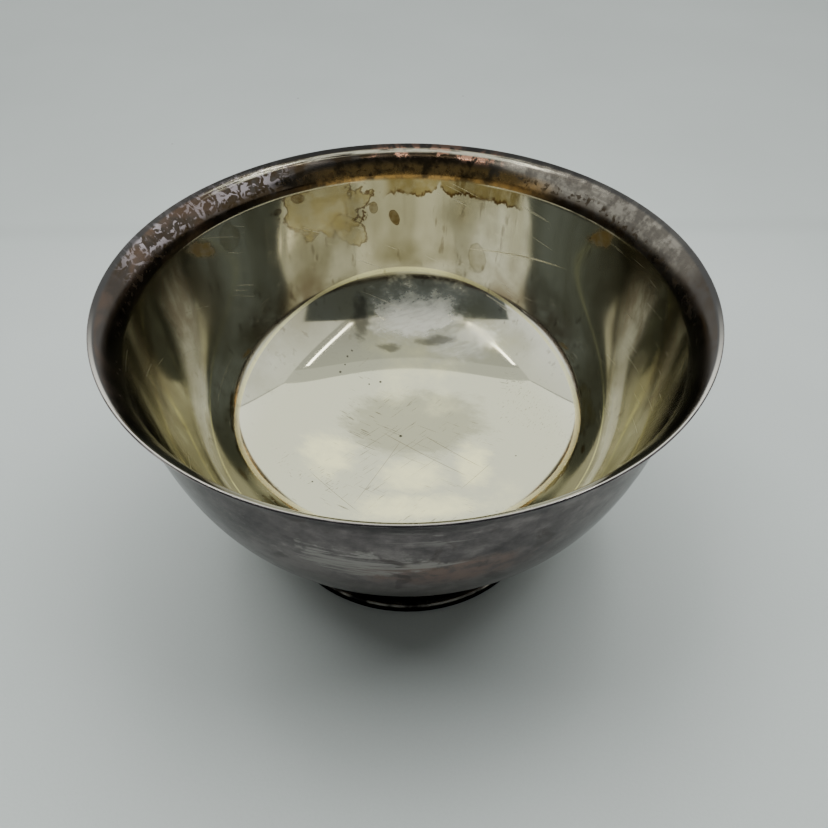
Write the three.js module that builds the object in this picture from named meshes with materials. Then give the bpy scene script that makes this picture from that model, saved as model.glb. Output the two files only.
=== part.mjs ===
// A round footed bowl in sheet silver: a deep spun body with a flared lip, standing on a
// spun ring foot that is soldered under it. Millimetres, +Z up, origin at the middle of the
// circle that the foot stands on.
import * as THREE from "three";

// Driving dimensions
const RIM_RADIUS = 101.5;
const HEIGHT = 114;
const SHEET = 0.9; // the body's thickness

// The inside of the body, from the edge of the lip down to the floor
const LIP_SLOPE = THREE.MathUtils.degToRad(40); // the lip's rise at its edge, above horizontal
const FLARE_RADIUS = 20; // the lip bends out on this radius
const WALL_LEAN = THREE.MathUtils.degToRad(6.6); // the wall leans in towards the floor
const WALL_PULL = 59.1; // how far the wall runs on before it turns in
const FLOOR_PULL = 71.9; // how far the floor runs out before it turns up
const DEPTH = 88.3; // rim plane to the middle of the floor

// The foot
const FOOT_RADIUS = 56;
const FOOT_NECK_RADIUS = 40;
const FOOT_SHEET = 1.2;
const BAND_HEIGHT = 4.2; // the upright band that the foot stands on
const BAND_THICKNESS = 2.6;
const BAND_ROUND = 0.8; // rounding of the band's two outer corners
const COLLAR = 2; // the foot's straight collar, under the body
const NECK_DROP = 9; // how far the foot's sweep falls before it turns out
const SWEEP_REACH = 9; // how far it has run level when it meets the band

// The solder that joins them
const SOLDER_LEG = 1.3;
const SOLDER_GAP = 0.05; // clearance to the two sheets
const FOOT_GAP = 0.15; // clearance from the foot's top edge to the body

// Facets
const AROUND = 60; // a multiple of four, so that the four outermost points are on an axis
const WALL_STEPS = 18;
const LIP_STEPS = 7;
const EDGE_STEPS = 2; // in each of the three arcs of the lip's rounded edge
const SWEEP_STEPS = 8;
const CORNER_STEPS = 3;

const at = (r, z) => new THREE.Vector2(r, z);

// The two faces of a sheet: points along its curves, and the same points moved to the right
// of the direction of travel by the sheet's thickness.
function sheetFaces(runs, thickness) {
  const face = [];
  const back = [];
  runs.forEach(({ curve, steps }, index) => {
    for (let i = index === 0 ? 0 : 1; i <= steps; i++) {
      const point = curve.getPoint(i / steps);
      const tangent = curve.getTangent(i / steps);
      face.push(point);
      back.push(at(point.x + tangent.y * thickness, point.y - tangent.x * thickness));
    }
  });
  return { face, back };
}

// Points on a circular arc about a centre, between two angles
function arc(centre, radius, from, to, steps) {
  return Array.from({ length: steps + 1 }, (_, i) => {
    const angle = from + ((to - from) * i) / steps;
    return at(centre.x + radius * Math.cos(angle), centre.y + radius * Math.sin(angle));
  });
}

// The height of a face at a radius
function heightAt(face, radius) {
  const next = face.findIndex((point) => point.x >= radius);
  const [a, b] = [face[next - 1], face[next]];
  return a.y + ((b.y - a.y) * (radius - a.x)) / (b.x - a.x);
}

// A solid of revolution about +Z
function turned(name, outline, color, roughness) {
  const geometry = new THREE.LatheGeometry(outline, AROUND);
  geometry.rotateX(Math.PI / 2);
  const material = new THREE.MeshStandardMaterial({ color, roughness, metalness: 1 });
  const mesh = new THREE.Mesh(geometry, material);
  mesh.name = name;
  return mesh;
}

// The body's inside face ends where the rounded edge of the lip begins
const halfSheet = SHEET / 2;
const edge = at(
  RIM_RADIUS - halfSheet * (1 + Math.sin(LIP_SLOPE)),
  HEIGHT - halfSheet * (1 - Math.cos(LIP_SLOPE)),
);
const flareCentre = at(
  edge.x + FLARE_RADIUS * Math.sin(LIP_SLOPE),
  edge.y - FLARE_RADIUS * Math.cos(LIP_SLOPE),
);
const flareStart = Math.PI - WALL_LEAN;
const flareEnd = Math.PI / 2 + LIP_SLOPE;
const neck = at(
  flareCentre.x + FLARE_RADIUS * Math.cos(flareStart),
  flareCentre.y + FLARE_RADIUS * Math.sin(flareStart),
);
const floorZ = HEIGHT - DEPTH;
const wall = new THREE.CubicBezierCurve(
  at(0, floorZ),
  at(FLOOR_PULL, floorZ),
  at(neck.x - WALL_PULL * Math.sin(WALL_LEAN), neck.y - WALL_PULL * Math.cos(WALL_LEAN)),
  neck,
);
const flare = new THREE.EllipseCurve(
  flareCentre.x,
  flareCentre.y,
  FLARE_RADIUS,
  FLARE_RADIUS,
  flareStart,
  flareEnd,
  true,
);
const body = sheetFaces(
  [
    { curve: wall, steps: WALL_STEPS },
    { curve: flare, steps: LIP_STEPS },
  ],
  SHEET,
);

function bowlBody() {
  const middle = edge.clone().add(body.back.at(-1)).divideScalar(2);
  // The arcs meet at the highest and the widest point, so that the facets keep both
  const turns = [flareEnd, Math.PI / 2, 0, flareEnd - Math.PI];
  const round = turns.slice(1).flatMap((to, i) => arc(middle, halfSheet, turns[i], to, EDGE_STEPS).slice(1));
  const outside = body.back.slice(0, -1).reverse();
  const outline = [...body.face, ...round, ...outside];
  return turned("bowl_body", outline.reverse(), 0xb9b3a4, 0.12);
}

function footRing() {
  const innerRadius = FOOT_RADIUS - BAND_THICKNESS;
  const top = heightAt(body.back, FOOT_NECK_RADIUS) - FOOT_GAP;
  const collarEnd = at(FOOT_NECK_RADIUS, top - COLLAR);
  const collar = new THREE.LineCurve(at(FOOT_NECK_RADIUS, top), collarEnd);
  const sweep = new THREE.CubicBezierCurve(
    collarEnd,
    at(FOOT_NECK_RADIUS, collarEnd.y - NECK_DROP),
    at(innerRadius - SWEEP_REACH, BAND_HEIGHT),
    at(innerRadius, BAND_HEIGHT),
  );
  const { face, back } = sheetFaces(
    [
      { curve: collar, steps: 1 },
      { curve: sweep, steps: SWEEP_STEPS },
    ],
    FOOT_SHEET,
  );
  back[0].y = heightAt(body.back, back[0].x) - FOOT_GAP;
  const cornerR = FOOT_RADIUS - BAND_ROUND;
  const upper = arc(at(cornerR, BAND_HEIGHT - BAND_ROUND), BAND_ROUND, Math.PI / 2, 0, CORNER_STEPS);
  const lower = arc(at(cornerR, BAND_ROUND), BAND_ROUND, 0, -Math.PI / 2, CORNER_STEPS);
  const outline = [...face, ...upper, ...lower, at(innerRadius, 0), ...back.reverse(), face[0].clone()];
  return turned("foot_ring", outline.reverse(), 0x6e665e, 0.22);
}

// A fillet in the corner between the body's underside and the foot's neck
function solderSeam() {
  const inner = FOOT_NECK_RADIUS + SOLDER_GAP;
  const outer = FOOT_NECK_RADIUS + SOLDER_LEG;
  const innerTop = heightAt(body.back, inner) - SOLDER_GAP;
  const outerTop = heightAt(body.back, outer) - SOLDER_GAP;
  const hollow = new THREE.QuadraticBezierCurve(
    at(outer, outerTop),
    at(inner + SOLDER_LEG / 4, innerTop - SOLDER_LEG / 4),
    at(inner, innerTop - SOLDER_LEG),
  );
  const outline = [at(inner, innerTop), ...hollow.getPoints(CORNER_STEPS), at(inner, innerTop)];
  return turned("solder_seam", outline.reverse(), 0x8f8b86, 0.35);
}

const bowl = new THREE.Group();
bowl.add(bowlBody(), footRing(), solderSeam());
export default bowl;
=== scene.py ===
"""Looks of a footed silver bowl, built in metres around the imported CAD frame."""
import bmesh
import bpy
import math
from mathutils import Matrix, Vector, noise


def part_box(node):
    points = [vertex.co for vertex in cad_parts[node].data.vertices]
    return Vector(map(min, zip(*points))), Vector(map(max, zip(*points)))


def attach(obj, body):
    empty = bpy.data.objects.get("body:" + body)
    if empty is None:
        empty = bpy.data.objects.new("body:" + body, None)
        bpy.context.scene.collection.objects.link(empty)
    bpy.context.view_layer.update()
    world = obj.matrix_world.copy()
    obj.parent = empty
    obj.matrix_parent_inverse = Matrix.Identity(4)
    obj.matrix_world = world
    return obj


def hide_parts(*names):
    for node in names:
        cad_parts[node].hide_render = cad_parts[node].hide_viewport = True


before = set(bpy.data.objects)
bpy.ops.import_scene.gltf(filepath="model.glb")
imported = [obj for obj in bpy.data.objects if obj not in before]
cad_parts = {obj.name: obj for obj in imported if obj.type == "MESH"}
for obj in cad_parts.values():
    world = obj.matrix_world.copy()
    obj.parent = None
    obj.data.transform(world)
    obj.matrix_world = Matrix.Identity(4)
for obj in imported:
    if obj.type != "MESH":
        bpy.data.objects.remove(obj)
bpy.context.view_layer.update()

# ---- sizes from the frame ----
MM = 0.001
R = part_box("bowl_body")[1].x
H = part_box("bowl_body")[1].z
FOOT_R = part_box("foot_ring")[1].x

# ---- the sheet's shape, as part.mjs has it ----
SHEET = 0.9 * MM
LIP_SLOPE = math.radians(40)
FLARE_RADIUS = 20 * MM
WALL_LEAN = math.radians(6.6)
WALL_PULL = 59.1 * MM
FLOOR_PULL = 71.9 * MM
DEPTH = 88.3 * MM
FOOT_NECK_RADIUS = 40 * MM
FOOT_SHEET = 1.2 * MM
BAND_HEIGHT = 4.2 * MM
BAND_THICKNESS = 2.6 * MM
BAND_ROUND = 0.8 * MM
COLLAR = 2 * MM
NECK_DROP = 9 * MM
SWEEP_REACH = 9 * MM
SOLDER_LEG = 1.3 * MM
SOLDER_GAP = 0.05 * MM
FOOT_GAP = 0.15 * MM

# ---- fineness and hand work ----
AROUND = 480
WALL_STEPS = 170
FLARE_STEPS = 44
ROUND_STEPS = 6
SWEEP_STEPS = 48
SOLDER_STEPS = 8
SOLDER_LUMPS = 9            # lumps in the bead, in cycles to a radius
SOLDER_SINK = 0.12 * MM
WAVE_HEIGHT = 0.035 * MM    # how far the spun wall strays from a true circle
WAVE_LENGTH = 45 * MM
ON_AXIS = 1e-7              # a point this near the axis is on it
RELIEF = 0.006 * MM         # the depth of scratches and streaks in the silver
FOOT_RELIEF = 0.008 * MM
SOLDER_RELIEF = 0.05 * MM
PAPER_RELIEF = 0.05 * MM


# ---- outlines: points (radius, height) of a section ----
def bezier(a, b, c, d, steps):
    points = []
    for i in range(steps + 1):
        t = i / steps
        s = 1 - t
        weights = (s**3, 3 * s * s * t, 3 * s * t * t, t**3)
        points.append(Vector([sum(w * q for w, q in zip(weights, axis)) for axis in zip(a, b, c, d)]))
    return points


def arc(centre, radius, start, end, steps):
    angles = [start + (end - start) * i / steps for i in range(steps + 1)]
    return [Vector((centre[0] + radius * math.cos(t), centre[1] + radius * math.sin(t))) for t in angles]


def offset(points, distance):
    """The points moved to the right of the direction of travel."""
    moved = []
    for i, p in enumerate(points):
        along = (points[min(i + 1, len(points) - 1)] - points[max(i - 1, 0)]).normalized()
        moved.append(Vector((max(p.x + along.y * distance, 0.0), p.y - along.x * distance)))
    return moved


def height_at(points, radius):
    """The height of a rising outline at a radius."""
    for a, b in zip(points, points[1:]):
        if b.x >= radius:
            return a.y + (b.y - a.y) * (radius - a.x) / (b.x - a.x)


def revolve(name, outline, closed, waviness=None):
    """A solid of revolution about Z. An outline that isn't closed starts and ends on the axis."""
    bm = bmesh.new()
    rings = []
    for p in outline:
        if p.x < ON_AXIS:
            rings.append([bm.verts.new((0, 0, p.y))])
            continue
        ring = []
        for k in range(AROUND):
            turn = math.tau * k / AROUND
            r = p.x + (waviness(turn, p) if waviness else 0)
            ring.append(bm.verts.new((r * math.cos(turn), r * math.sin(turn), p.y)))
        rings.append(ring)
    pairs = list(zip(rings, rings[1:]))
    if closed:
        pairs.append((rings[-1], rings[0]))
    for a, b in pairs:
        for k in range(AROUND):
            j = (k + 1) % AROUND
            corners = [a[k % len(a)], a[j % len(a)], b[j % len(b)], b[k % len(b)]]
            bm.faces.new(list(dict.fromkeys(corners)))
    bmesh.ops.recalc_face_normals(bm, faces=bm.faces)
    mesh = bpy.data.meshes.new(name)
    bm.to_mesh(mesh)
    bm.free()
    mesh.shade_smooth()
    piece = bpy.data.objects.new(name, mesh)
    bpy.context.scene.collection.objects.link(piece)
    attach(piece, "root")
    return piece


# ---- node graphs ----
class Graph:
    """Short calls that add nodes to a material and return their output sockets."""

    def __init__(self, name):
        self.material = bpy.data.materials.new(name)
        self.material.use_nodes = True
        self.tree = self.material.node_tree
        self.shader = self.tree.nodes["Principled BSDF"]
        self.place = self.tree.nodes.new("ShaderNodeTexCoord").outputs["Object"]
        parts = self.tree.nodes.new("ShaderNodeSeparateXYZ")
        self.tree.links.new(self.place, parts.inputs[0])
        self.x, self.y, self.z = parts.outputs
        self.radius = self.math("SQRT", self.add(self.mul(self.x, self.x), self.mul(self.y, self.y)))

    def put(self, socket, value):
        if isinstance(value, bpy.types.NodeSocket):
            self.tree.links.new(value, socket)
        elif isinstance(value, tuple) and len(value) == 3 and socket.type == "RGBA":
            socket.default_value = (*value, 1)
        else:
            socket.default_value = value

    def math(self, operation, *values):
        node = self.tree.nodes.new("ShaderNodeMath")
        node.operation = operation
        for socket, value in zip(node.inputs, values):
            self.put(socket, value)
        return node.outputs[0]

    def add(self, a, b):
        return self.math("ADD", a, b)

    def sub(self, a, b):
        return self.math("SUBTRACT", a, b)

    def mul(self, a, b):
        return self.math("MULTIPLY", a, b)

    def step(self, value, low, high, start=0.0, end=1.0):
        """A smooth step from start, at low, to end, at high."""
        node = self.tree.nodes.new("ShaderNodeMapRange")
        node.interpolation_type = "SMOOTHSTEP"
        for key, item in (("Value", value), ("From Min", low), ("From Max", high),
                          ("To Min", start), ("To Max", end)):
            self.put(node.inputs[key], item)
        return node.outputs[0]

    def stretch(self, scale, turn=(0, 0, 0), shift=(0, 0, 0)):
        """The place on the object in metres, turned, then scaled along each axis."""
        spin = self.tree.nodes.new("ShaderNodeVectorRotate")
        spin.rotation_type = "EULER_XYZ"
        self.put(spin.inputs["Vector"], self.place)
        self.put(spin.inputs["Rotation"], turn)
        node = self.tree.nodes.new("ShaderNodeVectorMath")
        node.operation = "MULTIPLY_ADD"
        self.put(node.inputs[0], spin.outputs[0])
        self.put(node.inputs[1], scale)
        self.put(node.inputs[2], shift)
        return node.outputs[0]

    def around(self, length, across, shift=0.0):
        """Coordinates for streaks that run round the axis: slow along them, fast across them."""
        ring = self.tree.nodes.new("ShaderNodeCombineXYZ")
        self.put(ring.inputs[0], self.math("DIVIDE", self.x, length))
        self.put(ring.inputs[1], self.math("DIVIDE", self.y, length))
        self.put(ring.inputs[2], self.add(self.math("DIVIDE", self.add(self.z, self.radius), across), shift))
        return ring.outputs[0]

    def noise(self, vector, detail=4.0, roughness=0.55, distortion=0.0):
        node = self.tree.nodes.new("ShaderNodeTexNoise")
        for key, item in (("Vector", vector), ("Scale", 1.0), ("Detail", detail),
                          ("Roughness", roughness), ("Distortion", distortion)):
            self.put(node.inputs[key], item)
        return node.outputs[0]

    def cells(self, vector):
        """The distance to the nearest of points scattered about one unit apart."""
        node = self.tree.nodes.new("ShaderNodeTexVoronoi")
        self.put(node.inputs["Vector"], vector)
        self.put(node.inputs["Scale"], 1.0)
        return node.outputs["Distance"]

    def mix(self, share, a, b):
        node = self.tree.nodes.new("ShaderNodeMix")
        node.data_type = "RGBA"
        sockets = [s for s in node.inputs if s.enabled]
        for socket, value in zip(sockets, (share, a, b)):
            self.put(socket, value)
        return next(s for s in node.outputs if s.enabled)

    def ramp(self, value, *stops):
        node = self.tree.nodes.new("ShaderNodeValToRGB")
        elements = node.color_ramp.elements
        while len(elements) < len(stops):
            elements.new(0.5)
        for element, (position, colour) in zip(elements, stops):
            element.position = position
            element.color = (*colour, 1)
        self.put(node.inputs[0], value)
        return node.outputs[0]

    def relief(self, height, depth):
        """Bump whose height of 1 stands for a depth in metres."""
        node = self.tree.nodes.new("ShaderNodeBump")
        node.inputs["Strength"].default_value = 1.0
        node.inputs["Distance"].default_value = depth
        self.put(node.inputs["Height"], height)
        self.put(self.shader.inputs["Normal"], node.outputs[0])

    def hairlines(self, turn, length, gap, share):
        """Fine scratches along one direction, in patches; a larger share covers more."""
        lines = self.noise(self.stretch((1 / length, 5 / gap, 5 / gap), turn), detail=1)
        where = self.noise(self.stretch((30, 30, 30), turn, (7, 3, 5)))
        return self.mul(self.step(lines, 0.655, 0.70), self.step(where, 0.60 - share, 0.68 - share))

    def wall_scratches(self, lean, shift):
        """Fine scratches that cross the wall at a slant, in patches."""
        rise = self.add(self.z, self.add(self.mul(self.x, lean[0]), self.mul(self.y, lean[1])))
        place = self.tree.nodes.new("ShaderNodeCombineXYZ")
        for socket, value, scale in zip(place.inputs, (self.x, self.y, rise), (32, 32, 1500)):
            self.put(socket, self.mul(value, scale))
        lines = self.noise(place.outputs[0], detail=1)
        where = self.noise(self.stretch((34, 34, 34), shift=(shift, 2, 5)))
        return self.mul(self.step(lines, 0.67, 0.72), self.step(where, 0.50, 0.58))

    def toward(self, angle, low, high):
        """1 where the surface lies towards a direction, in degrees, and 0 away from it."""
        turn = math.radians(angle)
        side = self.add(self.mul(self.x, math.cos(turn)), self.mul(self.y, math.sin(turn)))
        return self.step(self.math("DIVIDE", side, self.radius), low, high)

    def patch(self, angle, drop, width, tall, ragged, tilt=0.0):
        """A field about a place on the wall: 0 in its middle, 1 at its edge, more outside."""
        # How far the surface lies to the left of the place, seen from the axis
        turn = math.radians(angle)
        along = self.sub(self.mul(self.y, math.cos(turn)), self.mul(self.x, math.sin(turn)))
        u = self.math("DIVIDE", along, width)
        v = self.sub(self.math("DIVIDE", self.sub(self.z, H - drop), tall), self.mul(u, tilt))
        field = self.math("SQRT", self.add(self.mul(u, u), self.mul(v, v)))
        behind = self.mul(self.sub(1.0, self.toward(angle, -0.1, 0.2)), 9.0)
        grain = self.stretch((150, 150, 150), (0, 0, turn), (angle, 1, 2))
        rough = self.noise(grain, detail=6, roughness=0.62)
        return self.add(self.add(field, behind), self.mul(self.sub(rough, 0.5), ragged))

    def pool(self, x, y, wide, deep, ragged):
        """The same field about a place on the floor."""
        u = self.math("DIVIDE", self.sub(self.x, x), wide)
        v = self.math("DIVIDE", self.sub(self.y, y), deep)
        field = self.math("SQRT", self.add(self.mul(u, u), self.mul(v, v)))
        grain = self.stretch((90, 180, 120), (0, 0, 0.4), (x * 900, 1, 2))
        rough = self.noise(grain, detail=7, roughness=0.68)
        return self.add(field, self.mul(self.sub(rough, 0.5), ragged))

    def scored(self, start, end, width):
        """1 on a straight line scored across the floor, 0 off it."""
        length = math.dist(start, end)
        c, d = ((b - a) / length for a, b in zip(start, end))
        dx, dy = self.sub(self.x, start[0]), self.sub(self.y, start[1])
        along = self.math("DIVIDE", self.add(self.mul(dx, c), self.mul(dy, d)), length)
        off = self.math("ABSOLUTE", self.sub(self.mul(dy, c), self.mul(dx, d)))
        inside = self.mul(self.step(along, 0.0, 0.15), self.step(along, 1.0, 0.8))
        return self.mul(self.step(off, width, width * 0.3), inside)


def finish_metal(g, colour, roughness, relief, depth, edge=1.0):
    """The shader's sockets for a metal; edge is its tint at a grazing angle."""
    g.shader.inputs["Metallic"].default_value = 1.0
    g.shader.inputs["Specular Tint"].default_value = (edge, edge, edge, 1)
    g.put(g.shader.inputs["Base Color"], colour)
    g.put(g.shader.inputs["Roughness"], roughness)
    g.relief(relief, depth)
    return g.material


# ---- colours of silver and of its tarnish ----
CLEAN = (0.63, 0.62, 0.45)
# bright polished silver; also the colour of the painted rim reflection on the floor
POLISHED_AND_HIGHLIGHT = (1.0, 0.95, 0.55)
DULL = (0.43, 0.42, 0.29)
WARM = (0.80, 0.785, 0.665)
FILM = (0.38, 0.355, 0.245)
BAND = (0.25, 0.20, 0.085)
OLIVE = (0.34, 0.29, 0.145)
UMBER = (0.09, 0.05, 0.015)
AMBER = (0.42, 0.27, 0.075)
RUSSET = (0.32, 0.265, 0.19)
SPECK = (0.04, 0.035, 0.03)
LIP_BROWN = (0.05, 0.034, 0.018)
LIP_GREY = (0.07, 0.062, 0.054)
LIP_BEIGE = (0.25, 0.23, 0.195)
LIP_PURPLE = (0.058, 0.049, 0.046)
LIP_RUST = (0.13, 0.085, 0.06)
LIP_PAINTED_SHADE = (0.035, 0.03, 0.026)
LIP_TAN = (0.38, 0.235, 0.085)
LIP_EDGE = (0.05, 0.05, 0.05)
WORN_AND_HIGHLIGHT = (0.95, 0.90, 0.70)
LILAC = (0.34, 0.30, 0.315)
HAZY = (1.0, 0.985, 0.86)
FRONT_EDGE_HIGHLIGHT = (0.62, 0.59, 0.53)
ROSE = (0.70, 0.38, 0.25)
OUTSIDE_DARK = (0.085, 0.076, 0.078)
OUTSIDE_MID = (0.16, 0.142, 0.142)
OUTSIDE_LIGHT = (0.28, 0.25, 0.245)
OUTSIDE_LOW = (0.38, 0.31, 0.25)
OUTSIDE_ROSY = (0.30, 0.20, 0.165)
OUTSIDE_WIPED = (0.42, 0.395, 0.37)
OUTSIDE_SPOT = (0.06, 0.045, 0.04)
OUTSIDE_SCRATCH = (0.40, 0.38, 0.34)
FOOT_SHADED_BLACK = (0.010, 0.009, 0.008)
FOOT_SHADED_DARK = (0.022, 0.019, 0.017)
FOOT_SHADED_BROWN = (0.05, 0.044, 0.038)
FOOT_HIGHLIGHT = (0.60, 0.55, 0.47)
SOLDER_DARK = (0.12, 0.11, 0.10)
SOLDER_LIGHT = (0.40, 0.38, 0.35)
PAPER_SHADE = (0.475, 0.52, 0.50)
PAPER = (0.53, 0.58, 0.56)
PAPER_FOLD_SHADE = (0.25, 0.26, 0.26)
LINT = (0.10, 0.10, 0.09)
OUTSIDE_EDGE_TINT = 0.7     # below 1, a metal mirrors less at a grazing angle
FOOT_EDGE_TINT = 0.2

# ---- marks on the inside ----
WALL_START = 58 * MM        # the radius where the floor's colour starts to give way to the wall's
WALL_FULL = 86 * MM         # and where it has
LIP_DEPTH = 12.5 * MM       # how far below the rim the lip's own tarnish ends
LIP_BLUR = 0.9 * MM
BEND_DROP = 8 * MM          # how far below the rim the dirt in the bend lies, and how far it strays
BEND_STRAY = 8 * MM
STAIN_DROP = 19 * MM        # how far below the rim the band's dripping edge lies
DRIP_LENGTH = 17 * MM
STAINS = (
    # angle, drop below the rim, half width, half height, raggedness, strength, tilt
    (112, 21 * MM, 19 * MM, 13 * MM, 1.9, 0.9, 0.0),
    (106, 33 * MM, 7 * MM, 6 * MM, 1.5, 0.7, 0.5),
    (93, 29.6 * MM, 2.3 * MM, 3.2 * MM, 0.7, 1.0, 0.4),
    (98.7, 24.6 * MM, 1.8 * MM, 2.6 * MM, 0.7, 1.0, 0.0),
    (68.5, 45 * MM, 4 * MM, 6 * MM, 0.9, 0.4, 0.3),
    (140, 20 * MM, 5 * MM, 6 * MM, 1.2, 0.5, 0.0),
)
BLOTS = (
    # angle, drop below the rim, half width, half height, tilt
    (93, 29.6 * MM, 2.2 * MM, 3.0 * MM, 0.4),
    (98.7, 24.6 * MM, 1.6 * MM, 2.2 * MM, 0.0),
    (119, 15 * MM, 3.4 * MM, 2.4 * MM, 0.2),
    (125, 18 * MM, 2.2 * MM, 1.6 * MM, 0.0),
)
POLISHED_PATCHES = (
    # x, y, half width, half depth
    (2 * MM, -9 * MM, 14 * MM, 9 * MM),
    (27 * MM, -4 * MM, 7 * MM, 12 * MM),
    (-33 * MM, 2 * MM, 11 * MM, 12 * MM),
    (3 * MM, -26 * MM, 26 * MM, 7 * MM),
)
SMUDGES = (
    # x, y, half width, half depth
    (-21 * MM, 71 * MM, 4 * MM, 8 * MM),
    (13 * MM, 63.5 * MM, 8 * MM, 2.2 * MM),
    (-8 * MM, 61 * MM, 5 * MM, 2.5 * MM),
)
AMBER_PATCHES = (
    # angle, drop below the rim, half width, half height, tilt
    (149.3, 17.5 * MM, 7 * MM, 4.5 * MM, 0.7),
    (33.5, 17 * MM, 7 * MM, 4.5 * MM, -0.7),
)
RING_MIDDLE = 14 * MM       # the painted reflection of the rim, a ring round the floor: y of its centre, and its radius
RING_RADIUS = 71.2 * MM
RING_FRONT = 1.32           # the ring is flattened this much towards the front
RING_SIDES = 1.04           # the square of how much it is flattened at the sides
SCORES = (
    # from, to, half width
    ((-2 * MM, 12 * MM), (-22 * MM, -26 * MM), 0.16 * MM),
    ((34 * MM, -4 * MM), (20 * MM, -18 * MM), 0.14 * MM),
    ((-12 * MM, 16 * MM), (26 * MM, -12 * MM), 0.22 * MM),
    ((6 * MM, 14 * MM), (32 * MM, -8 * MM), 0.16 * MM),
    ((-40 * MM, -8 * MM), (-18 * MM, -30 * MM), 0.12 * MM),
)
SPECKS = (
    # x, y, radius
    (-3 * MM, 13 * MM, 0.9 * MM),
    (-12 * MM, 43.5 * MM, 0.7 * MM),
    (-17 * MM, 42 * MM, 0.5 * MM),
    (-27 * MM, 55 * MM, 0.6 * MM),
    (-28 * MM, 51 * MM, 0.5 * MM),
    (-25 * MM, 58 * MM, 0.6 * MM),
    (-30 * MM, 47 * MM, 0.7 * MM),
    (44 * MM, -2 * MM, 0.4 * MM),
    (-38 * MM, -14 * MM, 0.5 * MM),
)


def lip_tarnish_and_painted_light(g, streak, fine, drop):
    """The lip's colour: dark brown, with satin, fibrous and flecked stretches round the edge, painted shade
    towards its front and sides, and painted highlights along its front edge and in a strip round the back.
    """
    blotch = g.noise(g.stretch((38, 38, 60), shift=(3, 1, 4)), detail=6, roughness=0.62, distortion=0.8)
    colour = g.ramp(blotch, (0.36, LIP_BROWN), (0.54, LIP_GREY), (0.70, LIP_PURPLE))
    soot = g.step(fine, 0.58, 0.42, 0.0, 0.8)
    colour = g.mix(soot, colour, LIP_BROWN)
    beige = g.mul(g.toward(36, 0.80, 0.93), g.step(drop, 10 * MM, 6 * MM))
    beige = g.mul(beige, g.step(streak, 0.30, 0.55, 0.55, 1.0))
    colour = g.mix(beige, colour, LIP_BEIGE)
    colour = g.mix(g.mul(soot, beige), colour, LIP_GREY)
    fibre = g.mul(g.toward(192, 0.70, 0.92), g.step(streak, 0.40, 0.62))
    colour = g.mix(g.mul(fibre, 0.75), colour, LIP_PURPLE)
    grain = g.noise(g.stretch((230, 230, 280)), detail=6, distortion=1.6)
    flecks = g.mul(g.toward(147, 0.86, 0.95), g.step(grain, 0.52, 0.57))
    colour = g.mix(g.mul(flecks, g.step(drop, 9 * MM, 5 * MM)), colour, LILAC)
    glints = g.mul(g.step(fine, 0.47, 0.56), g.step(drop, 6.5 * MM, 3 * MM))
    colour = g.mix(g.mul(g.toward(82, 0.95, 0.985), glints), colour, ROSE)
    # painted shade: the lip darker towards its front and sides
    shade = g.mul(g.toward(-90, -0.42, 0.12), g.step(blotch, 0.34, 0.58, 0.9, 0.5))
    rust = g.mul(g.toward(190, 0.5, 0.85), g.step(blotch, 0.46, 0.60, 0.0, 0.7))
    colour = g.mix(rust, colour, LIP_RUST)
    colour = g.mix(shade, colour, LIP_PAINTED_SHADE)
    tan = g.mul(g.toward(84, 0.80, 0.94), g.step(drop, 4.5 * MM, 7.5 * MM))
    colour = g.mix(g.mul(tan, g.step(fine, 0.36, 0.56, 0.1, 1.0)), colour, LIP_TAN)
    colour = g.mix(g.mul(g.step(drop, 1.5 * MM, 0.7 * MM), 0.85), colour, LIP_EDGE)
    # painted highlight: a light line along the front edge of the rim
    front = g.mul(g.toward(-90, 0.1, 0.6), g.step(drop, 0.9 * MM, 0.4 * MM))
    colour = g.mix(front, colour, FRONT_EDGE_HIGHLIGHT)
    # painted highlight: a bright strip round the back of the lip, where it mirrors the strip lights
    strip = g.mul(g.step(drop, 1.1 * MM, 1.6 * MM), g.step(drop, 2.9 * MM, 2.2 * MM))
    strip = g.mul(strip, g.mul(g.toward(97, 0.66, 0.82), g.step(streak, 0.40, 0.54)))
    return g.mix(strip, colour, WORN_AND_HIGHLIGHT), blotch


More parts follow.
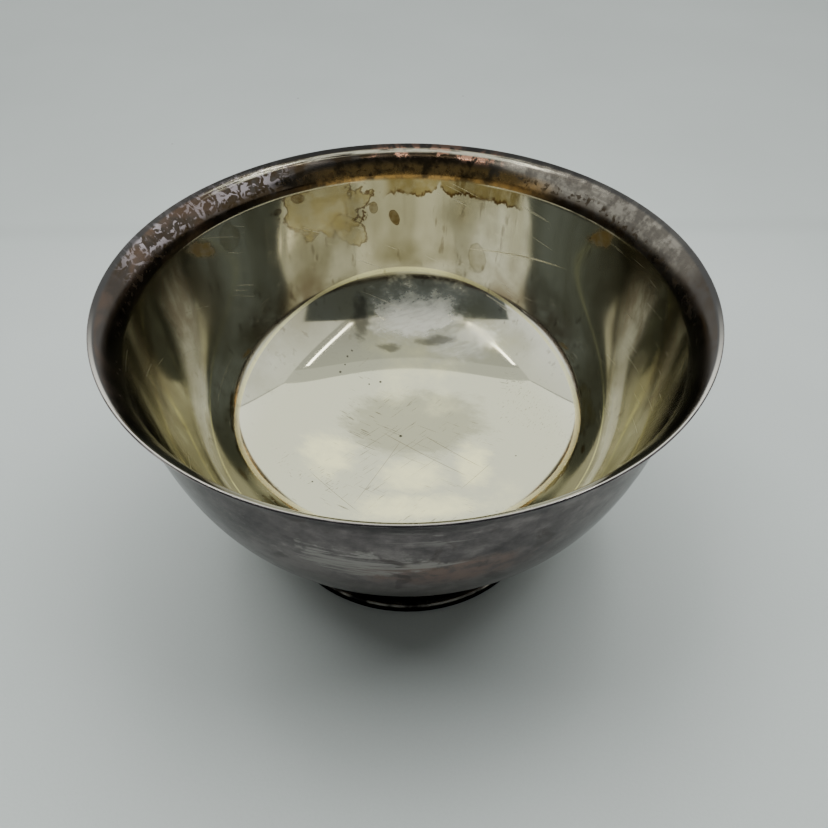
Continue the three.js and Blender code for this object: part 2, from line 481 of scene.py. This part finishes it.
def inside_silver():
    """The inside of the bowl and the lip: mirror-bright floor, warm walls, stains under the lip."""
    g = Graph("silver_inside")
    drop = g.sub(H, g.z)
    cloud = g.noise(g.stretch((22, 22, 22)), detail=5)
    fine = g.noise(g.stretch((150, 150, 150)), detail=6, roughness=0.65)
    streak = g.noise(g.around(26 * MM, 1.6 * MM), detail=6, roughness=0.7, distortion=0.6)

    # the floor, with patches that stay bright
    bright = g.step(cloud, 0.55, 0.72, 0.0, 0.5)
    for x, y, wide, deep in POLISHED_PATCHES:
        bright = g.math("MAXIMUM", bright, g.step(g.pool(x, y, wide, deep, 1.5), 1.35, 0.35))
    dull = g.step(g.pool(3 * MM, 20 * MM, 32 * MM, 19 * MM, 1.0), 1.15, 0.7)
    colour = g.mix(dull, CLEAN, DULL)
    colour = g.mix(g.mul(bright, g.step(fine, 0.25, 0.65, 0.6, 1.0)), colour, POLISHED_AND_HIGHLIGHT)
    wall = g.step(g.radius, WALL_START, WALL_FULL)
    colour = g.mix(wall, colour, g.mix(g.step(cloud, 0.35, 0.7), WARM, FILM))
    film = g.mul(wall, g.toward(104, 0.80, 0.95))
    colour = g.mix(g.mul(film, 0.85), colour, FILM)
    roughness = g.add(g.mul(wall, 0.03), g.step(cloud, 0.45, 0.75, 0.03, 0.08))

    # a dull patch at the back of the floor that spreads the light it mirrors
    haze = g.math("MAXIMUM", g.step(g.pool(4 * MM, 73 * MM, 21 * MM, 9 * MM, 1.6), 1.3, 0.4),
                  g.step(g.pool(26 * MM, 60 * MM, 15 * MM, 8 * MM, 2.0), 1.3, 0.4, 0.0, 0.45))
    brushed = g.noise(g.stretch((160, 900, 500), (0, 0, -0.25)), detail=5)
    haze = g.mul(haze, g.step(brushed, 0.30, 0.60, 0.6, 1.0))
    colour = g.mix(haze, colour, HAZY)
    roughness = g.add(roughness, g.mul(haze, 0.42))
    for x, y, wide, deep in SMUDGES:
        smudge = g.step(g.pool(x, y, wide, deep, 2.2), 1.2, 0.5, 0.0, 0.6)
        colour = g.mix(smudge, colour, SPECK)

    # a thin bright ring round the floor: a painted reflection of the rim's lit lip, where the floor mirrors
    # it
    ahead = g.sub(g.y, RING_MIDDLE)
    ahead = g.math("MAXIMUM", ahead, g.mul(ahead, -RING_FRONT))
    reach = g.math("SQRT", g.add(g.mul(g.mul(g.x, g.x), RING_SIDES), g.mul(ahead, ahead)))
    wide = g.step(g.y, 60 * MM, -20 * MM, 0.5 * MM, 1.7 * MM)
    ring = g.math("DIVIDE", g.math("ABSOLUTE", g.sub(reach, RING_RADIUS)), wide)
    ring = g.mul(g.step(ring, 1.0, 0.5), g.step(cloud, 0.30, 0.45, 0.4, 1.0))
    colour = g.mix(ring, colour, POLISHED_AND_HIGHLIGHT)
    roughness = g.add(roughness, g.mul(ring, 0.13))

    # thin runs that dried on the far wall
    runs = g.noise(g.stretch((330, 330, 8)), detail=4)
    dried = g.mul(g.step(runs, 0.60, 0.70), g.mul(wall, g.step(drop, 14 * MM, 20 * MM)))
    colour = g.mix(g.mul(dried, 0.40), colour, UMBER)
    drips = g.noise(g.stretch((420, 420, 70), shift=(3, 2, 1)), detail=4)
    dashed = g.step(g.patch(68, 14 * MM, 17 * MM, 5 * MM, 1.0), 1.1, 0.8)
    dashed = g.mul(dashed, g.step(drips, 0.48, 0.56))
    colour = g.mix(g.mul(dashed, 0.85), colour, UMBER)

    # tea-brown stains with a darker outline
    for angle, down, width, tall, ragged, strength, tilt in STAINS:
        field = g.patch(angle, down, width, tall, ragged, tilt)
        fill = g.step(field, 1.02, 0.92, 0.0, strength)
        mottle = g.step(fine, 0.38, 0.60, 0.40, 1.0)
        colour = g.mix(g.mul(fill, mottle), colour, OLIVE)
        outline = g.mul(g.step(field, 0.84, 0.97), g.step(field, 1.06, 1.0, 0.0, strength))
        outline = g.mul(outline, g.step(cloud, 0.38, 0.52, 0.35, 1.0))
        colour = g.mix(outline, colour, UMBER)
        roughness = g.add(roughness, g.mul(fill, 0.05))

    # small dark blots
    for angle, down, width, tall, tilt in BLOTS:
        blot = g.step(g.patch(angle, down, width, tall, 0.7, tilt), 1.0, 0.85)
        colour = g.mix(g.mul(blot, g.step(fine, 0.35, 0.60, 0.35, 0.8)), colour, UMBER)

    # a band under the lip with a dripping brown edge
    drip = g.noise(g.stretch((95, 95, 30), shift=(7, 3, 1)), detail=6, roughness=0.7)
    edge = g.add(STAIN_DROP, g.mul(g.sub(drip, 0.5), DRIP_LENGTH))
    above = g.sub(edge, drop)
    ends = g.mul(g.toward(77, 0.940, 0.962), g.step(drip, 0.30, 0.36))
    fill = g.mul(g.step(above, 0.0, 0.5 * MM), ends)
    colour = g.mix(g.mul(fill, g.step(fine, 0.35, 0.62, 0.65, 1.0)), colour, BAND)
    rust = g.mul(g.step(above, -0.3 * MM, 0.2 * MM), g.step(above, 2.0 * MM, 0.5 * MM))
    rust = g.mul(g.mul(rust, ends), g.step(fine, 0.40, 0.52, 0.25, 1.0))
    colour = g.mix(rust, colour, UMBER)

    # amber patches in the far corners
    for angle, down, width, tall, tilt in AMBER_PATCHES:
        amber = g.step(g.patch(angle, down, width, tall, 1.3, tilt), 1.15, 0.6)
        colour = g.mix(g.mul(amber, g.step(fine, 0.30, 0.60, 0.5, 0.9)), colour, AMBER)
        roughness = g.add(roughness, g.mul(amber, 0.26))

    # cloudy brown tarnish high on both sides
    side = g.mul(g.step(g.math("ABSOLUTE", g.x), 62 * MM, 88 * MM), g.step(drop, 66 * MM, 30 * MM))
    wisps = g.noise(g.stretch((34, 34, 14), shift=(1, 6, 2)), detail=6, roughness=0.6, distortion=1.4)
    side = g.mul(side, g.step(wisps, 0.36, 0.60, 0.15, 0.9))
    colour = g.mix(side, colour, RUSSET)
    roughness = g.add(roughness, g.mul(side, 0.07))

    # the lip
    lip = g.add(drop, g.mul(g.sub(cloud, 0.5), 4 * MM))
    lip = g.step(lip, LIP_DEPTH + LIP_BLUR, LIP_DEPTH - LIP_BLUR)
    tarnish, blotch = lip_tarnish_and_painted_light(g, streak, fine, drop)
    colour = g.mix(lip, colour, tarnish)
    roughness = g.add(roughness, g.mul(lip, g.step(blotch, 0.35, 0.65, 0.03, 0.12)))
    roughness = g.add(roughness, g.mul(lip, g.mul(g.toward(36, 0.80, 0.93), 0.08)))

    # a thin painted highlight along the back where the lip meets the wall, standing for the mirrored rim
    crease = g.step(g.math("ABSOLUTE", g.sub(drop, LIP_DEPTH + 0.1 * MM)), 0.35 * MM, 0.15 * MM)
    crease = g.mul(crease, g.mul(g.toward(90, 0.35, 0.6), g.toward(86, 0.975, 0.93)))
    crease = g.mul(crease, g.step(streak, 0.38, 0.52, 0.3, 1.0))
    colour = g.mix(crease, colour, WORN_AND_HIGHLIGHT)
    roughness = g.add(roughness, g.mul(crease, 0.3))

    # dirt caught in the bend under the lip
    bend = g.add(BEND_DROP, g.mul(g.sub(cloud, 0.5), BEND_STRAY))
    line = g.math("ABSOLUTE", g.sub(drop, bend))
    grime = g.noise(g.stretch((420, 420, 420)), detail=3)
    dirt = g.mul(g.step(line, 2.6 * MM, 0.3 * MM), g.step(grime, 0.52, 0.60))
    dirt = g.mul(dirt, g.step(g.y, -0.5 * R, 0.2 * R))
    colour = g.mix(g.mul(dirt, 0.8), colour, LIP_BROWN)
    roughness = g.add(roughness, g.mul(dirt, 0.25))

    # specks, lines scored across the floor and one long scratch on the far wall
    for x, y, size in SPECKS:
        spot = g.step(g.pool(x, y, size, size, 0.9), 1.0, 0.5, 0.0, 0.8)
        colour = g.mix(spot, colour, SPECK)
        roughness = g.add(roughness, g.mul(spot, 0.4))
    scores = 0.0
    for start, end, width in SCORES:
        scores = g.math("MAXIMUM", scores, g.scored(start, end, width))
    floor = g.step(g.radius, 60 * MM, 52 * MM)
    scores = g.mul(scores, floor)
    wall_score = g.step(g.patch(56, 39 * MM, 27 * MM, 0.5 * MM, 0.0, -6.0), 1.0, 0.5)
    colour = g.mix(g.mul(scores, 0.55), colour, UMBER)
    colour = g.mix(wall_score, colour, WORN_AND_HIGHLIGHT)
    roughness = g.add(roughness, g.mul(wall_score, 0.3))

    # scratches from spoons and polishing
    scratch = g.math("MAXIMUM", g.hairlines((0, 0, 0.5), 60 * MM, 3 * MM, 0.08),
                     g.hairlines((0, 0, -0.75), 45 * MM, 2.5 * MM, 0.08))
    scratch = g.mul(scratch, g.step(g.radius, 70 * MM, 56 * MM))
    colour = g.mix(g.mul(scratch, 0.35), colour, UMBER)
    slant = g.mul(g.wall_scratches((0.45, 0.2), 1), g.mul(wall, g.step(drop, 12 * MM, 15 * MM)))
    colour = g.mix(g.mul(slant, 0.5), colour, WORN_AND_HIGHLIGHT)
    roughness = g.add(roughness, g.mul(g.math("MAXIMUM", scratch, slant), 0.25))
    spun = g.noise(g.around(60 * MM, 2.4 * MM, 5.0), detail=3)
    relief = g.add(g.mul(scratch, -0.5), g.mul(spun, 0.10))
    relief = g.add(relief, g.mul(scores, -1.0))
    relief = g.add(relief, g.mul(g.mul(streak, lip), 0.30))
    return finish_metal(g, colour, roughness, relief, RELIEF)


def outside_silver():
    """The outside: even purple-grey tarnish, browner low down, wiped in smears at the front."""
    g = Graph("silver_outside")
    cloud = g.noise(g.stretch((16, 16, 26)), detail=6, roughness=0.6)
    fine = g.noise(g.stretch((150, 150, 190)), detail=6, roughness=0.7)
    colour = g.ramp(g.add(g.mul(cloud, 0.55), g.mul(fine, 0.45)),
                    (0.40, OUTSIDE_DARK), (0.50, OUTSIDE_MID), (0.60, OUTSIDE_LIGHT))
    low = g.step(g.z, 78 * MM, 38 * MM)
    colour = g.mix(g.mul(low, 0.55), colour, OUTSIDE_LOW)
    streak = g.noise(g.around(20 * MM, 2.5 * MM, 2.0), detail=5, distortion=1.2)
    rosy = g.step(g.patch(-82, 36 * MM, 26 * MM, 8 * MM, 1.6), 1.2, 0.5)
    colour = g.mix(g.mul(rosy, g.step(fine, 0.40, 0.56, 0.2, 0.8)), colour, OUTSIDE_ROSY)
    smears = g.patch(-99, 30 * MM, 20 * MM, 7 * MM, 1.9)
    wiped = g.mul(g.step(smears, 1.10, 0.85), g.step(streak, 0.46, 0.53))
    stroke = g.step(g.patch(-88, 31 * MM, 15 * MM, 0.9 * MM, 0.25, 1.5), 1.0, 0.6)
    wiped = g.math("MAXIMUM", wiped, stroke)
    stray = g.step(g.noise(g.stretch((9, 9, 14), shift=(2, 5, 1))), 0.56, 0.66)
    wiped = g.math("MAXIMUM", wiped, g.mul(stray, g.step(streak, 0.50, 0.62, 0.0, 0.6)))
    colour = g.mix(g.mul(wiped, 0.85), colour, OUTSIDE_WIPED)
    spots = g.noise(g.stretch((75, 75, 95), shift=(4, 4, 4)), detail=6, distortion=0.7)
    spots = g.step(spots, 0.58, 0.66)
    colour = g.mix(g.mul(spots, 0.55), colour, OUTSIDE_SPOT)
    roughness = g.add(g.step(cloud, 0.35, 0.7, 0.13, 0.26), g.mul(wiped, -0.05))
    scratch = g.math("MAXIMUM", g.hairlines((0, 0, 0.4), 40 * MM, 4 * MM, 0.06),
                     g.hairlines((0.9, 0, 0), 35 * MM, 3 * MM, 0.08))
    colour = g.mix(g.mul(scratch, 0.35), colour, OUTSIDE_SCRATCH)
    relief = g.add(g.mul(scratch, -0.4), g.mul(streak, 0.2))
    return finish_metal(g, colour, roughness, relief, RELIEF, OUTSIDE_EDGE_TINT)


def foot_silver():
    """The foot: tarnish darkened to near black as painted shade for the shadow it stands in, with a painted
    highlight along its upper edge.
    """
    g = Graph("silver_foot")
    cloud = g.noise(g.stretch((30, 30, 45)), detail=6, roughness=0.6)
    # tarnish darkened to near black: partly painted shade for the shadow under the bowl
    colour = g.ramp(cloud, (0.35, FOOT_SHADED_BLACK), (0.55, FOOT_SHADED_DARK), (0.70, FOOT_SHADED_BROWN))
    # painted highlight along the foot's upper edge
    edge = g.step(g.radius, FOOT_R - 2.4 * MM, FOOT_R - 0.9 * MM)
    edge = g.mul(edge, g.step(g.z, 2.8 * MM, 3.8 * MM))
    edge_highlight = g.mul(edge, g.step(g.noise(g.stretch((90, 90, 90)), detail=5), 0.40, 0.56))
    colour = g.mix(g.mul(edge_highlight, 0.6), colour, FOOT_HIGHLIGHT)
    roughness = g.add(g.step(cloud, 0.3, 0.7, 0.18, 0.32), g.mul(edge_highlight, -0.06))
    streak = g.noise(g.around(20 * MM, 1.5 * MM), detail=4)
    return finish_metal(g, colour, roughness, streak, FOOT_RELIEF, FOOT_EDGE_TINT)


def solder_metal():
    """Dull grey solder, pitted, mottled dark and light."""
    g = Graph("solder_grey")
    cloud = g.noise(g.stretch((140, 140, 140)), detail=5)
    colour = g.ramp(cloud, (0.35, SOLDER_DARK), (0.65, SOLDER_LIGHT))
    pits = g.cells(g.stretch((900, 900, 900)))
    roughness = g.step(cloud, 0.3, 0.7, 0.35, 0.55)
    return finish_metal(g, colour, roughness, g.step(pits, 0.0, 0.4), SOLDER_RELIEF)


# ---- the body ----
half = SHEET / 2
flare_end = math.pi / 2 + LIP_SLOPE
edge = Vector((R - half * (1 + math.sin(LIP_SLOPE)), H - half * (1 - math.cos(LIP_SLOPE))))
flare_centre = edge + FLARE_RADIUS * Vector((math.sin(LIP_SLOPE), -math.cos(LIP_SLOPE)))
flare_points = arc(flare_centre, FLARE_RADIUS, math.pi - WALL_LEAN, flare_end, FLARE_STEPS)
neck = flare_points[0]
floor_z = H - DEPTH
wall_points = bezier((0, floor_z), (FLOOR_PULL, floor_z),
                     neck - WALL_PULL * Vector((math.sin(WALL_LEAN), math.cos(WALL_LEAN))), neck, WALL_STEPS)
inside = wall_points[:-1] + flare_points
outside = offset(inside, SHEET)
middle = inside[-1] + half * Vector((math.sin(LIP_SLOPE), -math.cos(LIP_SLOPE)))
turns = (flare_end, math.pi / 2, 0, flare_end - math.pi)
rounded = [p for a, b in zip(turns, turns[1:]) for p in arc(middle, half, a, b, ROUND_STEPS)[1:]]


def hand_work(turn, point):
    """A slow wave in the wall, none at the lip, on the floor or where the foot joins."""
    below_lip = (R * 0.97 - point.x) / (R * 0.06)
    above_floor = (point.x - R * 0.5) / (R * 0.2)
    share = max(0.0, min(1.0, below_lip)) * max(0.0, min(1.0, above_floor))
    place = Vector((R * math.cos(turn), R * math.sin(turn), point.y)) / WAVE_LENGTH
    return WAVE_HEIGHT * share * noise.noise(place)


def make_body():
    """The sheet: its inside and lip have one material, its outside the other."""
    body = revolve("silver_body", inside + rounded + outside[-2::-1], False, hand_work)
    body.data.materials.append(inside_silver())
    body.data.materials.append(outside_silver())
    inner_rings = len(inside) + ROUND_STEPS
    for index, face in enumerate(body.data.polygons):
        face.material_index = 0 if index // AROUND < inner_rings else 1
    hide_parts("bowl_body")


def make_foot():
    """The ring foot: a collar under the bowl, a sweep outwards and a flat band that it stands on."""
    inner = FOOT_R - BAND_THICKNESS
    top = height_at(outside, FOOT_NECK_RADIUS) - FOOT_GAP
    collar_end = Vector((FOOT_NECK_RADIUS, top - COLLAR))
    sweep = bezier(collar_end, (FOOT_NECK_RADIUS, collar_end.y - NECK_DROP),
                   (inner - SWEEP_REACH, BAND_HEIGHT), (inner, BAND_HEIGHT), SWEEP_STEPS)
    face = [Vector((FOOT_NECK_RADIUS, top))] + sweep
    back = offset(face, FOOT_SHEET)
    neck_inside = FOOT_NECK_RADIUS - FOOT_SHEET
    back[0] = Vector((neck_inside, height_at(outside, neck_inside) - FOOT_GAP))
    back[-1] = Vector((inner, BAND_HEIGHT - FOOT_SHEET))
    corner = FOOT_R - BAND_ROUND
    upper = arc((corner, BAND_HEIGHT - BAND_ROUND), BAND_ROUND, math.pi / 2, 0, ROUND_STEPS)
    lower = arc((corner, BAND_ROUND), BAND_ROUND, 0, -math.pi / 2, ROUND_STEPS)
    outline = face + upper + lower + [Vector((inner, 0))] + back[::-1]
    foot = revolve("silver_foot", outline, True)
    foot.data.materials.append(foot_silver())
    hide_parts("foot_ring")


def make_solder():
    """The bead of solder in the corner between the bowl and the foot's collar."""
    inner = FOOT_NECK_RADIUS + SOLDER_GAP
    outer = FOOT_NECK_RADIUS + SOLDER_LEG
    inner_top = height_at(outside, inner) - SOLDER_GAP
    outer_top = height_at(outside, outer) - SOLDER_GAP
    corner = Vector((inner, inner_top))
    start = Vector((outer, outer_top))
    pull = Vector((inner + SOLDER_LEG / 4, inner_top - SOLDER_LEG / 4))
    end = Vector((inner, inner_top - SOLDER_LEG))
    hollow = bezier(start, start.lerp(pull, 2 / 3), end.lerp(pull, 2 / 3), end, SOLDER_STEPS)

    def uneven(turn, point):
        """The bead's free face sinks here and there; its two legs stay where they are."""
        if point.x < inner + 0.1 * MM or point.x > outer - 0.05 * MM:
            return 0
        place = Vector((math.cos(turn), math.sin(turn), 0)) * SOLDER_LUMPS
        return -SOLDER_SINK * abs(noise.noise(place))

    seam = revolve("solder_bead", [corner] + hollow, True, uneven)
    seam.data.materials.append(solder_metal())
    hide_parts("solder_seam")


make_body()
make_foot()
make_solder()


# ---- stage: a paper floor, and a small light tent that only mirror reflections see ----
def floor_paper():
    """Pale paper with a soft painted shade line where the tent's back meets it, and a little lint."""
    g = Graph("floor_paper")
    fibre = g.noise(g.stretch((900, 900, 900)), detail=4)
    cloud = g.noise(g.stretch((5, 5, 5)), detail=3)
    shade = g.add(g.mul(fibre, 0.10), g.mul(cloud, 0.25))
    colour = g.ramp(shade, (0.10, PAPER_SHADE), (0.26, PAPER))
    # painted shade: a soft darker line across the floor where the tent's back sheet would fold up
    fold = g.step(g.math("ABSOLUTE", g.sub(g.y, TENT_BACK * R)), 0.16 * R, 0.0, 0.0, 0.10)
    colour = g.mix(fold, colour, PAPER_FOLD_SHADE)
    lint = g.step(g.cells(g.stretch((21, 21, 21), shift=(0.3, 0.2, 0.0))), 0.022, 0.012, 0.0, 0.55)
    colour = g.mix(lint, colour, LINT)
    g.put(g.shader.inputs["Base Color"], colour)
    g.shader.inputs["Roughness"].default_value = 0.95
    g.shader.inputs["Specular IOR Level"].default_value = 0.1
    g.relief(fibre, PAPER_RELIEF)
    return g.material


def glow(name, colour, strength):
    """A sheet that gives its own even light."""
    material = bpy.data.materials.new(name)
    material.use_nodes = True
    shader = material.node_tree.nodes["Principled BSDF"]
    shader.inputs["Base Color"].default_value = (0, 0, 0, 1)
    shader.inputs["Specular IOR Level"].default_value = 0
    shader.inputs["Emission Color"].default_value = (*colour, 1)
    shader.inputs["Emission Strength"].default_value = strength
    return material


def panel(name, corners, material, mirrored_only=True):
    """A flat sheet whose corners are given in rim radii."""
    mesh = bpy.data.meshes.new(name)
    mesh.from_pydata([tuple(R * v for v in c) for c in corners], [], [tuple(range(len(corners)))])
    sheet = bpy.data.objects.new(name, mesh)
    bpy.context.scene.collection.objects.link(sheet)
    mesh.materials.append(material)
    if mirrored_only:
        sheet.visible_camera = False
        sheet.visible_diffuse = False
        sheet.visible_shadow = False


# The tent in rim radii, and how brightly its sheets glow
TENT_SIDE = 1.9       # half the tent's width
TENT_TOP = 4.0
TENT_BACK = 2.2       # where the back sheet meets the floor
ROOF_BACK = 1.6
ROOF_FRONT = -1.8
VALANCE = 1.1         # behind this the roof is a lighter strip
SEAM = 0.05
SEAM_GAP = 0.02       # how far a seam stands before the back sheet
LED_Z = TENT_TOP - 0.05
LED_HALF = 0.05       # half the width of a side strip
LED_FRONT = -1.45     # where the side strips start and end
LED_BACK = 0.95
LED_SIDES = (-1.75, 1.5)
FLOOR = 30            # half the floor's width
ROOM = 12             # half the width of the dark room before the tent, and its height
ROOM_FRONT = -2.4
NOTCH = ((-1.3, 1.2), (-0.7, 2.1))   # the side walls' front edge is cut back here: (y, z)
CLOTH = (0.97, 1.0, 0.985)
ROOM_COLOUR = (0.88, 1.0, 1.05)
BACK_GLOW = 1.5
SIDE_GLOW = 1.1
ROOF_GLOW = 0.64
VALANCE_GLOW = 0.82
SEAM_GLOW = 0.35
ROOM_GLOW = 0.155
LED_GLOW = 9.0

panel("floor", [(-FLOOR, -FLOOR, 0), (FLOOR, -FLOOR, 0), (FLOOR, FLOOR, 0), (-FLOOR, FLOOR, 0)],
      floor_paper(), False)
panel("tent_back", [(-TENT_SIDE, TENT_BACK, 0), (TENT_SIDE, TENT_BACK, 0),
                    (TENT_SIDE, ROOF_BACK, TENT_TOP), (-TENT_SIDE, ROOF_BACK, TENT_TOP)],
      glow("back_cloth", CLOTH, BACK_GLOW))
for side in (-1, 1):
    x = side * TENT_SIDE
    panel("tent_side", [(x, ROOF_FRONT, 0), (x, TENT_BACK, 0), (x, ROOF_BACK, TENT_TOP),
                        (x, ROOF_FRONT, TENT_TOP), *[(x, y, z) for y, z in reversed(NOTCH)]],
          glow("side_cloth", CLOTH, SIDE_GLOW))
panel("tent_roof", [(-TENT_SIDE, ROOF_FRONT, TENT_TOP), (TENT_SIDE, ROOF_FRONT, TENT_TOP),
                    (TENT_SIDE, VALANCE, TENT_TOP), (-TENT_SIDE, VALANCE, TENT_TOP)],
      glow("roof_cloth", CLOTH, ROOF_GLOW))
panel("tent_valance", [(-TENT_SIDE, VALANCE, TENT_TOP), (TENT_SIDE, VALANCE, TENT_TOP),
                       (TENT_SIDE, ROOF_BACK, TENT_TOP), (-TENT_SIDE, ROOF_BACK, TENT_TOP)],
      glow("valance_cloth", CLOTH, VALANCE_GLOW))
panel("room", [(-ROOM, ROOM_FRONT, 0), (ROOM, ROOM_FRONT, 0), (ROOM, ROOM_FRONT, ROOM),
               (-ROOM, ROOM_FRONT, ROOM)],
      glow("dark_room", ROOM_COLOUR, ROOM_GLOW))
for side in (-1, 1):
    outer, inner = side * TENT_SIDE, side * (TENT_SIDE - SEAM)
    low, high = TENT_BACK - SEAM_GAP, ROOF_BACK - SEAM_GAP
    panel("tent_seam", [(outer, low, 0), (inner, low, 0), (inner, high, TENT_TOP), (outer, high, TENT_TOP)],
          glow("seam_cloth", CLOTH, SEAM_GLOW))
LED = glow("led", (1.0, 0.99, 0.95), LED_GLOW)
for x in LED_SIDES:
    panel("led_side", [(x - LED_HALF, LED_FRONT, LED_Z), (x + LED_HALF, LED_FRONT, LED_Z),
                       (x + LED_HALF, LED_BACK, LED_Z), (x - LED_HALF, LED_BACK, LED_Z)], LED)
panel("led_front", [(-1.6, -1.78, LED_Z), (0.85, -1.72, LED_Z), (0.85, -1.66, LED_Z),
                    (-1.6, -1.72, LED_Z)], LED)


# ---- lights on the floor and the diffuse parts ----
TUBE_POWER = 0.45                # watts
SKY_SPREAD = math.radians(32)    # how wide a patch of sky each even light stands for
ROOM_LIGHT = 0.18                # the strength of the light from all round


def lamp(name, kind, strength):
    """A light that mirror reflections don't see: they see the tent's panels instead."""
    data = bpy.data.lights.new(name, kind)
    data.energy = strength
    holder = bpy.data.objects.new(name, data)
    bpy.context.scene.collection.objects.link(holder)
    holder.visible_glossy = False
    holder.visible_camera = False
    return holder


def tube(name, x, y, wide, long):
    """A strip light under the tent's roof, in rim radii."""
    holder = lamp(name, "AREA", TUBE_POWER)
    holder.data.shape = "RECTANGLE"
    holder.data.size = wide * R
    holder.data.size_y = long * R
    holder.location = (x * R, y * R, LED_Z * R)


def sky(name, direction, strength):
    """An even soft light from a direction, the same everywhere on the floor."""
    holder = lamp(name, "SUN", strength)
    holder.data.angle = SKY_SPREAD
    holder.rotation_euler = Vector(direction).to_track_quat("Z", "Y").to_euler()


tube("strip_left", LED_SIDES[0], -0.25, 0.3, 2.4)
tube("strip_right", LED_SIDES[1], -0.25, 0.3, 2.4)
tube("strip_back", 0, 1.5, 3.0, 0.4)
sky("sky_left", (-1.75, 0.6, 4), 1.0)
sky("sky_right", (1.75, 0.6, 4), 1.0)
sky("sky_back", (0, 1.5, 4), 0.9)
world = bpy.data.worlds.new("room_light")
bpy.context.scene.world = world
world.use_nodes = True
background = world.node_tree.nodes["Background"]
background.inputs["Color"].default_value = (0.97, 1.0, 0.99, 1)
background.inputs["Strength"].default_value = ROOM_LIGHT

# ---- camera ----
IMAGE = 828           # the picture's width
FOCAL = 765           # the focal length, in the same unit
SENSOR = 36           # millimetres
CAMERA_BACK = 2.089   # from the bowl's axis, in rim radii
CAMERA_UP = 1.439     # above the rim
PITCH, YAW, ROLL = (math.radians(a) for a in (44.5, -0.49, -0.62))
camera = bpy.data.objects.new("camera", bpy.data.cameras.new("camera"))
bpy.context.scene.collection.objects.link(camera)
camera.data.sensor_width = SENSOR
camera.data.lens = SENSOR * FOCAL / IMAGE
turn = (Matrix.Rotation(math.pi / 2 - PITCH, 4, "X") @ Matrix.Rotation(YAW, 4, "Y")
        @ Matrix.Rotation(ROLL, 4, "Z"))
camera.matrix_world = Matrix.Translation((0, -CAMERA_BACK * R, H + CAMERA_UP * R)) @ turn
bpy.context.scene.camera = camera
